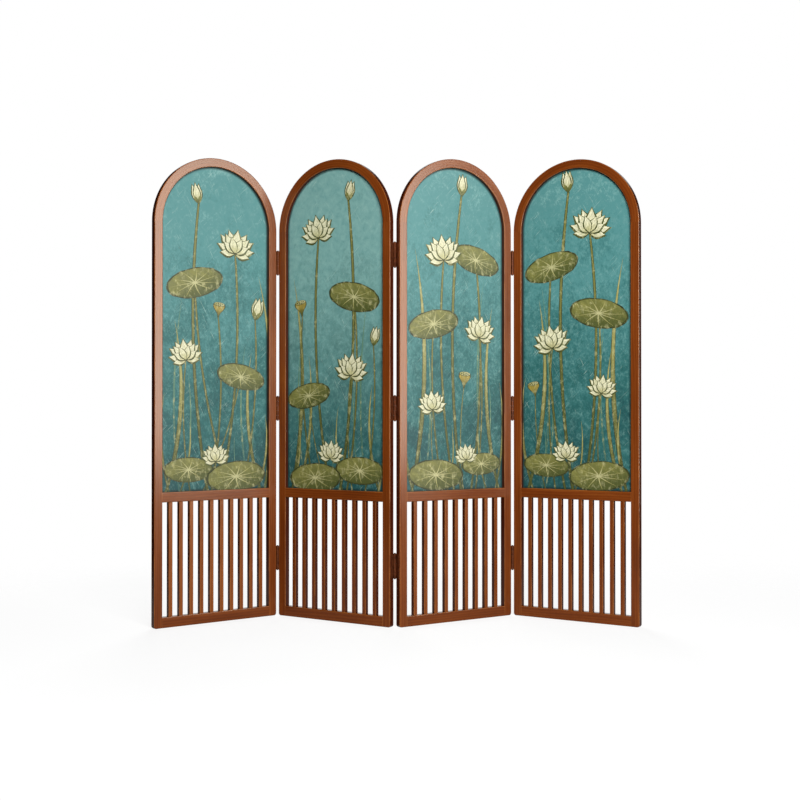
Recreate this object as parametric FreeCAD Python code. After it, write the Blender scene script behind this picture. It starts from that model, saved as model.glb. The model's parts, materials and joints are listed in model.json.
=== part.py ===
import FreeCAD, Part
import math
import os

from FreeCAD import Placement, Rotation, Vector

# A wooden folding screen: four arched leaves, hinged edge to edge and standing in a zigzag.
# Every leaf is made upright in a frame of its own and then turned and moved to its place.
# In that frame X runs along the leaf from its left edge, Y from the front face to the back, Z up.
# The whole screen has its origin on the floor, under the middle of the room it takes up.

# Leaf frame of solid wood: stiles and head of one rectangular section, and rails a little wider
leaf_width = 500.0
leaf_height = 1700.0
frame_width = 32.0
frame_depth = 25.0
edge_easing = 2.5
foot_radius = 9.0
bottom_rail_width = 38.0
mid_rail_width = 36.0
mid_rail_height = 447.0

# Turn of each leaf about the upright, first to last, as it stands in the room
leaf_turns_deg = (36.5, -32.0, 32.5, -32.0)

# Mortise and tenon joints of the rails
tenon_length = 20.0
tenon_thickness = 8.0
tenon_shoulder = 4.0
tenon_clearance = 0.2

# Dowels between the stiles and the arched head
dowel_diameter = 6.0
dowel_length = 36.0
dowel_spacing = 12.0
dowel_end_room = 1.0

# Upright slats under the middle rail, counted leaf by leaf
slat_counts = (10, 9, 9, 10)
slat_width = 15.0
slat_depth = 18.0
slat_easing = 1.5
slat_tenon_length = 8.0
slat_tenon_shoulder = 2.0

# Picture sheet, its backing board and the beads that hold both in the rebate
rebate_width = 8.0
sheet_thickness = 0.6
board_thickness = 5.0
board_clearance = 0.5
bead_thickness = 4.4
bead_easing = 1.5
bead_clearance = 0.2
bead_end_gap = 0.3
brad_diameter = 1.4
brad_length = 14.0
brad_sink = 0.3
brads_per_side = 4
brads_along_foot = 3
brads_round_head = 5

# Butt hinges: where they sit, as shares of the stile's height, and their own sizes
hinge_height_shares = (0.15, 0.54, 0.92)
hinge_height = 89.0
barrel_diameter = 9.0
knuckle_count = 5
knuckle_gap = 0.3
running_clearance = 0.3
plate_thickness = 2.0
plate_reach = 19.0
plate_corner_radius = 2.0
pin_diameter = 5.0
pin_head_diameter = 7.6
pin_head_height = 2.4
axis_standoff = 0.5

# Countersunk screws of the hinges
screws_per_plate = 3
screw_diameter = 3.5
screw_head_diameter = 6.5
screw_length = 16.0
screw_tip_length = 5.0
screw_tip_diameter = 0.8
screw_stagger = 1.5
screw_recess_length = 3.6
screw_recess_width = 0.9
screw_recess_depth = 1.1

# Radial room of a pin, screw, brad or dowel in its hole
snug_clearance = 0.05

# How far a cut runs past the face it opens, and how near counts as lying on a plane
overrun = 5.0
plane_tolerance = 0.01

# Sizes that follow from those above
spring_height = leaf_height - leaf_width / 2
mid_rail_top = mid_rail_height + mid_rail_width
clear_width = leaf_width - 2 * frame_width
picture_recess = frame_depth - bead_thickness - board_thickness - sheet_thickness
rebate_inset = frame_width - rebate_width
rebate_foot = mid_rail_top - rebate_width
leaf_gap = barrel_diameter + 2 * running_clearance
knuckle_height = hinge_height / knuckle_count
bore_radius = pin_diameter / 2 + snug_clearance
screw_head_height = (screw_head_diameter - screw_diameter) / 2
leaf_numbers = range(len(leaf_turns_deg))
joint_numbers = range(len(leaf_turns_deg) - 1)

origin = Vector(0, 0, 0)
along_x = Vector(1, 0, 0)
along_y = Vector(0, 1, 0)
along_z = Vector(0, 0, 1)


# Basic shapes

def block(low, high):
    """A box between two opposite corners."""
    size = high - low
    return Part.makeBox(size.x, size.y, size.z, low)


def rod(radius, start, end):
    """A plain cylinder from one point to another."""
    run = end - start
    return Part.makeCylinder(radius, run.Length, start, run)


def turned(profile):
    """A solid of revolution about Z, from pairs of radius and height."""
    points = [Vector(radius, 0, height) for radius, height in profile]
    face = Part.Face(Part.makePolygon(points + points[:1]))
    return face.revolve(origin, along_z, 360)


def arched_plate(inset, foot, front, back):
    """A plate with the leaf's own outline, drawn in by inset and cut square at its foot."""
    left = inset
    right = leaf_width - inset
    left_spring = Vector(left, front, spring_height)
    right_spring = Vector(right, front, spring_height)
    left_foot = Vector(left, front, foot)
    right_foot = Vector(right, front, foot)
    crown = Vector(leaf_width / 2, front, leaf_height - inset)
    outline = Part.Wire([
        Part.Arc(left_spring, crown, right_spring).toShape(),
        Part.LineSegment(right_spring, right_foot).toShape(),
        Part.LineSegment(right_foot, left_foot).toShape(),
        Part.LineSegment(left_foot, left_spring).toShape(),
    ])
    return Part.Face(outline).extrude(along_y * (back - front))


def edges_on(shape, depth):
    """The edges of a shape that lie in the upright plane at one depth of the leaf."""
    found = []
    for edge in shape.Edges:
        box = edge.BoundBox
        if max(abs(box.YMin - depth), abs(box.YMax - depth)) < plane_tolerance:
            found.append(edge)
    return found


# Leaf frame

def frame_blank():
    """The whole frame in one, eased along every edge and rebated, before it is parted."""
    blank = arched_plate(0, 0, 0, frame_depth)
    feet = []
    for edge in blank.Edges:
        box = edge.BoundBox
        if box.YLength > frame_depth / 2 and box.ZMax < plane_tolerance:
            feet.append(edge)
    blank = blank.makeFillet(foot_radius, feet)
    picture_hole = arched_plate(frame_width, mid_rail_top, -overrun, frame_depth + overrun)
    grille_hole = block(
        Vector(frame_width, -overrun, bottom_rail_width),
        Vector(leaf_width - frame_width, frame_depth + overrun, mid_rail_height))
    blank = blank.cut(picture_hole).cut(grille_hole)
    blank = blank.makeFillet(edge_easing, edges_on(blank, 0) + edges_on(blank, frame_depth))
    return blank.cut(arched_plate(rebate_inset, rebate_foot, picture_recess, frame_depth + overrun))


def parted(blank, left, right, low, high):
    """The stretch of the blank between two widths and two heights, as one member."""
    region = block(Vector(left, -overrun, low), Vector(right, frame_depth + overrun, high))
    return blank.common(region).Solids[0]


def rail_tenon(edge, inward, low, high, room):
    """One tenon of a rail, or with room its mortise, where the rail meets a stile's inner edge."""
    tip = edge - inward * (tenon_length + room)
    front = (frame_depth - tenon_thickness) / 2 - room
    back = (frame_depth + tenon_thickness) / 2 + room
    return block(
        Vector(min(edge, tip), front, low + tenon_shoulder - room),
        Vector(max(edge, tip), back, high - tenon_shoulder + room))


# Heights between which each rail has its tenons; the middle rail's stay below its rebate
rail_spans = ((0, bottom_rail_width), (mid_rail_height, rebate_foot))


def dowel_lines(stile_edge, inward):
    """Where the two dowels of a stile stand, from the outer edge of the stile."""
    middle = stile_edge + inward * rebate_inset / 2
    return (middle - dowel_spacing / 2, middle + dowel_spacing / 2)


def dowels_at(stile_edge, inward, radius, length):
    """The dowels of one stile, half in the stile and half in the head."""
    low = Vector(0, frame_depth / 2, spring_height - length / 2)
    high = Vector(0, frame_depth / 2, spring_height + length / 2)
    return [rod(radius, low + along_x * x, high + along_x * x) for x in dowel_lines(stile_edge, inward)]


def all_dowels(radius, length):
    """The dowels of both stiles of a leaf."""
    return dowels_at(0, 1, radius, length) + dowels_at(leaf_width, -1, radius, length)


# Slats

def slat_lefts(count):
    """The left side of each slat, with even gaps between the stiles."""
    gap = (clear_width - count * slat_width) / (count + 1)
    return [frame_width + gap + number * (slat_width + gap) for number in range(count)]


def slat_tenons(left, room):
    """The stub tenons at the foot and head of a slat, or with room their mortises."""
    front = (frame_depth - slat_depth) / 2
    low_x = left + slat_tenon_shoulder - room
    high_x = left + slat_width - slat_tenon_shoulder + room
    low_y = front + slat_tenon_shoulder - room
    high_y = front + slat_depth - slat_tenon_shoulder + room
    foot = block(
        Vector(low_x, low_y, bottom_rail_width - slat_tenon_length - room),
        Vector(high_x, high_y, bottom_rail_width))
    head = block(
        Vector(low_x, low_y, mid_rail_height),
        Vector(high_x, high_y, mid_rail_height + slat_tenon_length + room))
    return foot, head


def slat(left):
    """One slat with its four long edges eased and a stub tenon at each end."""
    front = (frame_depth - slat_depth) / 2
    bar = block(
        Vector(left, front, bottom_rail_width),
        Vector(left + slat_width, front + slat_depth, mid_rail_height))
    uprights = [edge for edge in bar.Edges if edge.BoundBox.ZLength > slat_width]
    bar = bar.makeFillet(slat_easing, uprights)
    foot, head = slat_tenons(left, 0)
    return bar.fuse([foot, head]).removeSplitter().Solids[0]


# Picture sheet, backing board, beads and brads

def picture_sheet():
    """The thin sheet that lies on the seat of the rebate."""
    inset = rebate_inset + board_clearance
    foot = rebate_foot + board_clearance
    return arched_plate(inset, foot, picture_recess, picture_recess + sheet_thickness)


def backing_board():
    """The stiff board behind the sheet."""
    inset = rebate_inset + board_clearance
    foot = rebate_foot + board_clearance
    front = picture_recess + sheet_thickness
    return arched_plate(inset, foot, front, front + board_thickness)


def beads():
    """Four beads round the back of the board: two uprights, one at the foot, one arched."""
    front = frame_depth - bead_thickness
    outer_inset = rebate_inset + bead_clearance
    outer_foot = rebate_foot + bead_clearance
    ring = arched_plate(outer_inset, outer_foot, front, frame_depth)
    ring = ring.cut(arched_plate(frame_width, mid_rail_top, front - overrun, frame_depth + overrun))
    inner_edges = []
    for edge in edges_on(ring, frame_depth):
        box = edge.BoundBox
        clear_of_left = box.XMin > frame_width - plane_tolerance
        clear_of_right = box.XMax < leaf_width - frame_width + plane_tolerance
        clear_of_foot = box.ZMin > mid_rail_top - plane_tolerance
        if clear_of_left and clear_of_right and clear_of_foot:
            inner_edges.append(edge)
    ring = ring.makeFillet(bead_easing, inner_edges)
    foot_end = frame_width + bead_end_gap
    return [
        parted(ring, 0, frame_width, 0, spring_height),
        parted(ring, leaf_width - frame_width, leaf_width, 0, spring_height),
        parted(ring, foot_end, leaf_width - foot_end, 0, mid_rail_top),
        parted(ring, 0, leaf_width, spring_height + bead_end_gap, leaf_height),
    ]


def brad_starts():
    """Where each brad enters a bead's inner face, and the way it points into the frame."""
    starts = []
    depth = frame_depth - bead_thickness / 2
    for number in range(brads_per_side):
        share = (number + 0.5) / brads_per_side
        height = mid_rail_top + share * (spring_height - mid_rail_top)
        starts.append((Vector(frame_width, depth, height), -along_x))
        starts.append((Vector(leaf_width - frame_width, depth, height), along_x))
    for number in range(brads_along_foot):
        share = (number + 0.5) / brads_along_foot
        starts.append((Vector(frame_width + share * clear_width, depth, mid_rail_top), -along_z))
    for number in range(brads_round_head):
        angle = math.pi * (number + 0.5) / brads_round_head
        outward = Vector(math.cos(angle), 0, math.sin(angle))
        centre = Vector(leaf_width / 2, depth, spring_height)
        starts.append((centre + outward * (clear_width / 2), outward))
    return starts


def brads(radius, tip_room, start_room):
    """All brads of a leaf, or with room the holes that they stand in."""
    made = []
    for start, way in brad_starts():
        head = start + way * (brad_sink - start_room)
        tip = start + way * (brad_sink + brad_length + tip_room)
        made.append(rod(radius, head, tip))
    return made


# Butt hinges, made about an upright pin at the origin with the plate on the side of plus X and plus Y

def hinge_plate(owned):
    """A plate with the knuckles that it owns, cut away round those of the other plate."""
    face_x = leaf_gap / 2
    half = hinge_height / 2
    plate = block(Vector(face_x - plate_thickness, 0, -half), Vector(face_x, plate_reach, half))
    corners = []
    for edge in plate.Edges:
        box = edge.BoundBox
        if box.YMin > plate_reach - plane_tolerance and box.XLength > plate_thickness / 2:
            corners.append(edge)
    plate = plate.makeFillet(plate_corner_radius, corners)
    for number in range(knuckle_count):
        low = -half + number * knuckle_height
        high = low + knuckle_height
        if number in owned:
            low_end = low if number == 0 else low + knuckle_gap / 2
            high_end = high if number == knuckle_count - 1 else high - knuckle_gap / 2
            plate = plate.fuse(rod(barrel_diameter / 2, Vector(0, 0, low_end), Vector(0, 0, high_end)))
        else:
            low_end = low - overrun if number == 0 else low - knuckle_gap / 2
            high_end = high + overrun if number == knuckle_count - 1 else high + knuckle_gap / 2
            room = barrel_diameter / 2 + running_clearance
            plate = plate.cut(rod(room, Vector(0, 0, low_end), Vector(0, 0, high_end)))
    bore = rod(bore_radius, Vector(0, 0, -half - overrun), Vector(0, 0, half + overrun))
    plate = plate.cut(bore).removeSplitter()
    return plate.cut(set_on_plate(screw_body(snug_clearance))).Solids[0]


def screw_body(room):
    """The turned shape of a countersunk screw along Z from its head, or with room of its hole."""
    head = screw_head_diameter / 2 + room
    shank = screw_diameter / 2 + room
    tip = screw_tip_diameter / 2 + room
    return turned([
        (0, 0), (head, 0), (shank, screw_head_height), (shank, screw_length - screw_tip_length),
        (tip, screw_length + room), (0, screw_length + room)])


def screw():
    """A countersunk wood screw with a cross recess in its head."""
    body = screw_body(0)
    long_half = screw_recess_length / 2
    short_half = screw_recess_width / 2
    one_way = block(
        Vector(-long_half, -short_half, -overrun), Vector(long_half, short_half, screw_recess_depth))
    other_way = block(
        Vector(-short_half, -long_half, -overrun), Vector(short_half, long_half, screw_recess_depth))
    return body.cut(one_way).cut(other_way).Solids[0]


def set_on_plate(shape):
    """Copies of a screw or of its hole on one plate, staggered and pointing along plus X."""
    pointing_x = Rotation(along_z, along_x)
    line = (barrel_diameter / 2 + running_clearance + plate_reach) / 2
    spacing = hinge_height / screws_per_plate
    made = []
    for number in range(screws_per_plate):
        side = screw_stagger if number % 2 else -screw_stagger
        height = (number + 0.5) * spacing - hinge_height / 2
        place = Vector(leaf_gap / 2 - plate_thickness, line + side, height)
        one = shape.copy()
        one.Placement = Placement(place, pointing_x)
        made.append(one)
    return made


def hinge_pin():
    """The pin of a hinge, with a low turned head at each end of the barrel."""
    half = hinge_height / 2
    pin = pin_diameter / 2
    head = pin_head_diameter / 2
    low = half + knuckle_gap
    high = low + pin_head_height
    crown = low + pin_head_height / 2
    return turned([
        (0, -high), (pin, -high), (head, -crown), (head, -low), (pin, -low),
        (pin, low), (head, low), (head, crown), (pin, high), (0, high)])


# Where the pins stand: on the front of the leaves at the first and last joint, on the back between

def joint_on_back(joint):
    return joint % 2 == 1


def pivot_on_leaf(joint, side):
    """The foot of a joint's pin in the frame of the leaf on its left or right side."""
    x = leaf_width + leaf_gap / 2 if side == "left" else -leaf_gap / 2
    y = frame_depth + axis_standoff if joint_on_back(joint) else -axis_standoff
    return Vector(x, y, 0)


def on_leaf(shape, joint, side, hinge):
    """A hinge piece moved from the pin to the edge of the leaf on its left or right side."""
    moved = shape.copy()
    if side == "left":
        moved = moved.mirror(origin, along_x)
    if joint_on_back(joint):
        moved = moved.mirror(origin, along_y)
    height = hinge_height_shares[hinge] * spring_height
    moved.translate(pivot_on_leaf(joint, side) + along_z * height)
    return moved


def at_every_hinge(shapes, joint, side):
    """Copies of hinge pieces on one leaf, one set at each hinge of a joint."""
    return [on_leaf(shape, joint, side, hinge)
            for hinge in range(len(hinge_height_shares)) for shape in shapes]


# Place of each leaf in the zigzag, worked out from pin to pin

def leaf_rotation(leaf):
    return Rotation(along_z, leaf_turns_deg[leaf])


def leaf_corners():
    """Each leaf's lower left corner, on the front face, with the first leaf's at zero."""
    corners = [origin]
    for joint in joint_numbers:
        pivot = corners[joint] + leaf_rotation(joint).multVec(pivot_on_leaf(joint, "left"))
        corners.append(pivot - leaf_rotation(joint + 1).multVec(pivot_on_leaf(joint, "right")))
    return corners


def plan_middle(corners):
    """The middle of the floor that the leaves take up, with their rounded upright edges."""
    centres = []
    for leaf in leaf_numbers:
        for x in (edge_easing, leaf_width - edge_easing):
            for y in (edge_easing, frame_depth - edge_easing):
                centres.append(corners[leaf] + leaf_rotation(leaf).multVec(Vector(x, y, 0)))
    xs = [centre.x for centre in centres]
    ys = [centre.y for centre in centres]
    return Vector((min(xs) + max(xs)) / 2, (min(ys) + max(ys)) / 2, 0)


plan_corners = leaf_corners()
plan_centre = plan_middle(plan_corners)
leaf_places = [Placement(plan_corners[leaf] - plan_centre, leaf_rotation(leaf)) for leaf in leaf_numbers]


def write(node, leaf, shapes):
    """Stand the pieces of one node in the screen and write them to the node's file."""
    solids = []
    for shape in shapes:
        for solid in shape.Solids:
            placed = solid.copy()
            placed.Placement = leaf_places[leaf].multiply(placed.Placement)
            solids.append(placed)
    whole = solids[0] if len(solids) == 1 else Part.makeCompound(solids)
    whole.exportStep(os.path.join("parts", node + ".step"))
    valid = all(solid.isValid() for solid in solids)
    print(node, len(solids), "solids, valid" if valid else "solids, NOT VALID", round(whole.Volume, 1))


# Leaves

os.makedirs("parts", exist_ok=True)

blank = frame_blank()
left_stile_blank = parted(blank, 0, frame_width, 0, spring_height)
right_stile_blank = parted(blank, leaf_width - frame_width, leaf_width, 0, spring_height)
head_blank = parted(blank, 0, leaf_width, spring_height, leaf_height)
mid_rail_blank = parted(blank, frame_width, leaf_width - frame_width, mid_rail_height, mid_rail_top)
bottom_rail_blank = parted(blank, frame_width, leaf_width - frame_width, 0, bottom_rail_width)

dowel_holes = all_dowels(dowel_diameter / 2 + snug_clearance, dowel_length + 2 * dowel_end_room)
brad_holes = brads(brad_diameter / 2 + snug_clearance, snug_clearance, overrun)
brad_pins = brads(brad_diameter / 2, 0, 0)
bead_strips = [bead.cut(brad_holes) for bead in beads()]
head = head_blank.cut(dowel_holes + brad_holes)

left_tenons = [rail_tenon(frame_width, 1, low, high, 0) for low, high in rail_spans]
right_tenons = [rail_tenon(leaf_width - frame_width, -1, low, high, 0) for low, high in rail_spans]
left_mortises = [rail_tenon(frame_width, 1, low, high, tenon_clearance) for low, high in rail_spans]
right_mortises = [rail_tenon(leaf_width - frame_width, -1, low, high, tenon_clearance)
                  for low, high in rail_spans]

screw_holes = set_on_plate(screw_body(snug_clearance))

for leaf in leaf_numbers:
    name = "leaf_%d_" % (leaf + 1)
    lefts = slat_lefts(slat_counts[leaf])
    slat_mortises = [slat_tenons(left, tenon_clearance) for left in lefts]
    foot_mortises = [pair[0] for pair in slat_mortises]
    head_mortises = [pair[1] for pair in slat_mortises]
    left_screw_holes = []
    right_screw_holes = []
    if leaf > 0:
        left_screw_holes = at_every_hinge(screw_holes, leaf - 1, "right")
    if leaf in joint_numbers:
        right_screw_holes = at_every_hinge(screw_holes, leaf, "left")
    left_stile = left_stile_blank.cut(left_mortises + dowel_holes + brad_holes + left_screw_holes)
    right_stile = right_stile_blank.cut(right_mortises + dowel_holes + brad_holes + right_screw_holes)
    mid_rail = mid_rail_blank.fuse([left_tenons[1], right_tenons[1]]).cut(head_mortises + brad_holes)
    bottom_rail = bottom_rail_blank.fuse([left_tenons[0], right_tenons[0]]).cut(foot_mortises)
    write(name + "left_stile", leaf, [left_stile])
    write(name + "right_stile", leaf, [right_stile])
    write(name + "arched_head", leaf, [head])
    write(name + "middle_rail", leaf, [mid_rail])
    write(name + "bottom_rail", leaf, [bottom_rail])
    write(name + "slats", leaf, [slat(left) for left in lefts])
    write(name + "picture_sheet", leaf, [picture_sheet()])
    write(name + "backing_board", leaf, [backing_board()])
    write(name + "retaining_beads", leaf, bead_strips)
    write(name + "dowels", leaf, all_dowels(dowel_diameter / 2, dowel_length))
    write(name + "brads", leaf, brad_pins)

# Hinges, three at each joint; the pins stay with the second leaf, or with the third at the last joint

odd_knuckles = range(0, knuckle_count, 2)
even_knuckles = range(1, knuckle_count, 2)
left_plate = hinge_plate(odd_knuckles)
right_plate = hinge_plate(even_knuckles)
plate_screws = set_on_plate(screw())
pin_sides = ("right", "left", "left")

for joint in joint_numbers:
    name = "hinges_%d_%d_" % (joint + 1, joint + 2)
    leaf_on_side = {"left": joint, "right": joint + 1}
    write(name + "left_plates", joint, at_every_hinge([left_plate], joint, "left"))
    write(name + "right_plates", joint + 1, at_every_hinge([right_plate], joint, "right"))
    write(name + "left_screws", joint, at_every_hinge(plate_screws, joint, "left"))
    write(name + "right_screws", joint + 1, at_every_hinge(plate_screws, joint, "right"))
    side = pin_sides[joint]
    write(name + "pins", leaf_on_side[side], at_every_hinge([hinge_pin()], joint, side))
    pivot = leaf_places[joint].multVec(pivot_on_leaf(joint, "left"))
    print("joint", joint + 1, "pin at", round(pivot.x, 3), round(pivot.y, 3))
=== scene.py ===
import json
import math

import bpy
from mathutils import Matrix, Vector


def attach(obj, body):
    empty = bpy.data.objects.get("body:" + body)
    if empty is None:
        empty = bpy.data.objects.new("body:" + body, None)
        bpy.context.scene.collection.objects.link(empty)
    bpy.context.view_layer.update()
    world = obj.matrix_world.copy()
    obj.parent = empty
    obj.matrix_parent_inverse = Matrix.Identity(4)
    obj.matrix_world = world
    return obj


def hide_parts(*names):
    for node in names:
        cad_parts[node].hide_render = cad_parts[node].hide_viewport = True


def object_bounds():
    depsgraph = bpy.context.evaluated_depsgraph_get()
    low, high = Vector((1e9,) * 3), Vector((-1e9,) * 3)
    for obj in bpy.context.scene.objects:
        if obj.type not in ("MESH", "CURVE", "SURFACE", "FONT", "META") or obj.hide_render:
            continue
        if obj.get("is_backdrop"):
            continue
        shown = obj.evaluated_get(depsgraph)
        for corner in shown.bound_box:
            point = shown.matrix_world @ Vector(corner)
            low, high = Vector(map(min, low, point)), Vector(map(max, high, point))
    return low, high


# Lengths are metres, with the row of leaves along X and Z up.
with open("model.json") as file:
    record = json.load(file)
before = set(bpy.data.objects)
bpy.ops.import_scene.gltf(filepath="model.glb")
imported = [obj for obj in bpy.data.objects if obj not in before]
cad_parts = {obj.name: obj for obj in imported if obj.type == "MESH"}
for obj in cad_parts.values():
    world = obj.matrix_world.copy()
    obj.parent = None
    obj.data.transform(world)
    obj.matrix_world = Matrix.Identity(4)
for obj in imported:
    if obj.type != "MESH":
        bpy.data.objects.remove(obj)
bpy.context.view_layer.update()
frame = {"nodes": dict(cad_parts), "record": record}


# Stiles
# The two uprights of each leaf are straight bars of solid hardwood, eased along their edges,
# stained red-brown and finished with satin lacquer. They stand on the floor and carry the rest.

leaf_turns = [math.radians(turn) for turn in (36.5, -32.0, 32.5, -32.0)]
leaf_feet = [Vector(mount["pos_m"]) for mount in frame["record"]["mounts"]]
leaf_count = len(leaf_turns)
leaf_width = 0.500
frame_width = 0.032
frame_depth = 0.025
stile_middle = (leaf_width - frame_width) / 2

stain_dark = "#4C1E07"
stain_middle = "#70340E"
stain_light = "#8A4A1B"
stain_pore = "#2E1004"
# Lighter edges: partly rubbed lacquer, partly a painted highlight
stain_worn_and_highlight = "#A5652F"
# Painted shade, laid over the side faces of every member
painted_side_shade = "#3E1105"
stain_stops = ((0.0, stain_dark), (0.5, stain_middle), (1.0, stain_light))
lacquer_tint = "#FFF3E3"
wood_gloss = 0.5
seeds_per_leaf = 10.0

# Scales of the grain are waves per metre across, through and along a member
pith_offset = (0.05, 0.085, 0)
ring_density = 1150.0
ring_wander = 26.0
drift_scale = (9, 9, 1.3)
mottle_scale = (30, 30, 3.2)
fibre_scale = (1300, 1300, 22)
pore_scale = (800, 800, 26)
pore_band = (0.60, 0.72)
rub_scale = (90, 90, 14)
rub_band = (0.35, 0.65)
edge_band = (0.0032, 0.0008)
side_shade_band = (0.0012, 0.0002)

# How much each of these changes the tone, the cover of the stain, the satin and the relief
middle_tone = 0.5
ring_swing = 0.10
fibre_swing = 0.34
mottle_swing = 0.9
pore_strength = 0.45
side_shade_strength = 0.88
rub_strength = 0.5
rub_least = 0.15
lacquer_roughness = 0.15
mottle_roughness = 0.08
fibre_roughness = 0.06
fibre_rise = 0.5
grain_strength = 0.07
grain_depth = 0.0004


def colour(code):
    """A colour written as red, green and blue pairs, as the linear values that shaders take."""
    shares = [int(code[start:start + 2], 16) / 255 for start in (1, 3, 5)]
    linear = [share / 12.92 if share <= 0.04045 else ((share + 0.055) / 1.055) ** 2.4 for share in shares]
    return (*linear, 1.0)


def node(tree, kind, values=None, **settings):
    """A shader node with its settings, and with a number, a colour or a link on its inputs."""
    made = tree.nodes.new("ShaderNode" + kind)
    for name, value in settings.items():
        setattr(made, name, value)
    for name, value in (values or {}).items():
        if isinstance(value, bpy.types.NodeSocket):
            tree.links.new(value, made.inputs[name])
        else:
            made.inputs[name].default_value = value
    return made


def maths(tree, operation, *terms, clamp=False):
    """The result of one operation on numbers or outputs."""
    return node(tree, "Math", dict(enumerate(terms)), operation=operation, use_clamp=clamp).outputs[0]


def times(tree, first, second):
    """The product of two numbers or outputs."""
    return maths(tree, "MULTIPLY", first, second)


def scaled(tree, value, share, base):
    """A share of a value, laid on a base."""
    return maths(tree, "MULTIPLY_ADD", value, share, base)


def added(tree, total, *terms):
    """The sum of several numbers or outputs."""
    for term in terms:
        total = maths(tree, "ADD", total, term)
    return total


def swing(tree, value, width):
    """A value from 0 to 1 as a swing about zero, of so much in all."""
    return scaled(tree, value, width, -width / 2)


def stretched(tree, vector, scale):
    """A place scaled by its own amount along each axis."""
    return node(tree, "VectorMath", {0: vector, 1: scale}, operation="MULTIPLY").outputs["Vector"]


def length_of(tree, vector):
    """How far a place lies from zero."""
    return node(tree, "VectorMath", {0: vector}, operation="LENGTH").outputs["Value"]


def parts_of(tree, vector):
    """The X, Y and Z of a place."""
    return node(tree, "SeparateXYZ", {0: vector}).outputs


def cloud(tree, place, scale, seed, detail=2.0, rough=0.5, swirl=0.0):
    """Smooth noise from 0 to 1 at a place, different for every seed."""
    values = {"Vector": stretched(tree, place, scale), "W": seed, "Scale": 1.0}
    values.update({"Detail": detail, "Roughness": rough, "Distortion": swirl})
    return node(tree, "TexNoise", values, noise_dimensions="4D").outputs["Fac"]


def between(tree, value, low, high):
    """A soft step from 0 at low to 1 at high."""
    values = {"Value": value, "From Min": low, "From Max": high}
    return node(tree, "MapRange", values, interpolation_type="SMOOTHSTEP").outputs["Result"]


def mixed(tree, share, first, second, strength=1.0):
    """The first colour, with a share of the second laid over it at a strength."""
    cover = times(tree, share, strength)
    return node(tree, "Mix", {0: cover, 6: first, 7: second}, data_type="RGBA").outputs[2]


def graded(tree, value, stops):
    """A colour that runs through stops, pairs of place and colour, as value goes from 0 to 1."""
    made = node(tree, "ValToRGB", {"Fac": value})
    elements = made.color_ramp.elements
    while len(elements) < len(stops):
        elements.new(1.0)
    for element, (place, code) in zip(elements, stops):
        element.position = place
        element.color = colour(code)
    return made.outputs["Color"]


def bumped(tree, height, strength, depth):
    """The direction of the surface, with a height laid on it as fine relief."""
    values = {"Height": height, "Strength": strength, "Distance": depth}
    return node(tree, "Bump", values).outputs["Normal"]


def link_all(tree, sockets, outputs):
    """Links each output to the socket that it is named for."""
    for name, output in outputs.items():
        tree.links.new(output, sockets[name])


def new_group(name, inputs, outputs):
    """An empty node group with named sockets, and the nodes that hold them."""
    group = bpy.data.node_groups.new(name, "ShaderNodeTree")
    for socket_name, kind in inputs.items():
        group.interface.new_socket(socket_name, in_out="INPUT", socket_type="NodeSocket" + kind)
    for socket_name, kind in outputs.items():
        group.interface.new_socket(socket_name, in_out="OUTPUT", socket_type="NodeSocket" + kind)
    return group, group.nodes.new("NodeGroupInput").outputs, group.nodes.new("NodeGroupOutput").inputs


def make_wood_grain():
    """Lacquered hardwood. Place is across the member, through it and along it, from its middle line."""
    inputs = {
        "Place": "Vector", "Seed": "Float", "Half Width": "Float", "Half Depth": "Float", "Tone": "Float"}
    outputs = {"Color": "Color", "Roughness": "Float", "Height": "Float"}
    group, given, result = new_group("wood grain", inputs, outputs)
    place = given["Place"]
    seed = given["Seed"]

    flat = stretched(group, place, (1, 1, 0))
    from_pith = node(group, "VectorMath", {0: flat, 1: pith_offset}, operation="ADD").outputs["Vector"]
    ring_place = times(group, length_of(group, from_pith), ring_density)
    drift = cloud(group, place, drift_scale, seed)
    rings = maths(group, "SINE", scaled(group, drift, ring_wander, ring_place))
    mottle = cloud(group, place, mottle_scale, seed)
    fibre = cloud(group, place, fibre_scale, seed, detail=3.0, rough=0.6)
    pores = between(group, cloud(group, place, pore_scale, seed, detail=1.0), *pore_band)

    tone = scaled(group, rings, ring_swing, middle_tone)
    tone = added(group, tone, swing(group, fibre, fibre_swing), swing(group, mottle, mottle_swing))
    stained = graded(group, added(group, tone, given["Tone"]), stain_stops)
    stained = mixed(group, pores, stained, colour(stain_pore), pore_strength)

    parts = parts_of(group, place)
    from_side = maths(group, "SUBTRACT", given["Half Width"], maths(group, "ABSOLUTE", parts["X"]))
    from_face = maths(group, "SUBTRACT", given["Half Depth"], maths(group, "ABSOLUTE", parts["Y"]))
    # Painted shade: the side faces of each member are darkened to stand in for the shade on them
    side = between(group, from_side, *side_shade_band)
    stained = mixed(group, side, stained, colour(painted_side_shade), side_shade_strength)
    # The eased edges are made lighter: partly real rubbing of the lacquer, partly a painted highlight along
    # them
    near_side = between(group, from_side, *edge_band)
    near_face = between(group, from_face, *edge_band)
    edge = times(group, near_side, near_face)
    rubbed = between(group, cloud(group, place, rub_scale, seed, detail=3.0), *rub_band)
    wear = times(group, edge, scaled(group, rubbed, rub_strength, rub_least))

    satin = scaled(group, mottle, mottle_roughness, lacquer_roughness)
    link_all(group, result, {
        "Color": mixed(group, wear, stained, colour(stain_worn_and_highlight)),
        "Roughness": scaled(group, fibre, fibre_roughness, satin),
        "Height": maths(group, "SUBTRACT", times(group, fibre, fibre_rise), pores),
    })
    return group


wood_grain = make_wood_grain()


def new_material(name, specular):
    """A material with its shader and the place on the surface, in the screen's own coordinates."""
    material = bpy.data.materials.new(name)
    material.use_nodes = True
    tree = material.node_tree
    shader = tree.nodes["Principled BSDF"].inputs
    shader["Specular IOR Level"].default_value = specular
    return material, tree, shader, node(tree, "TexCoord").outputs["Object"]


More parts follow.
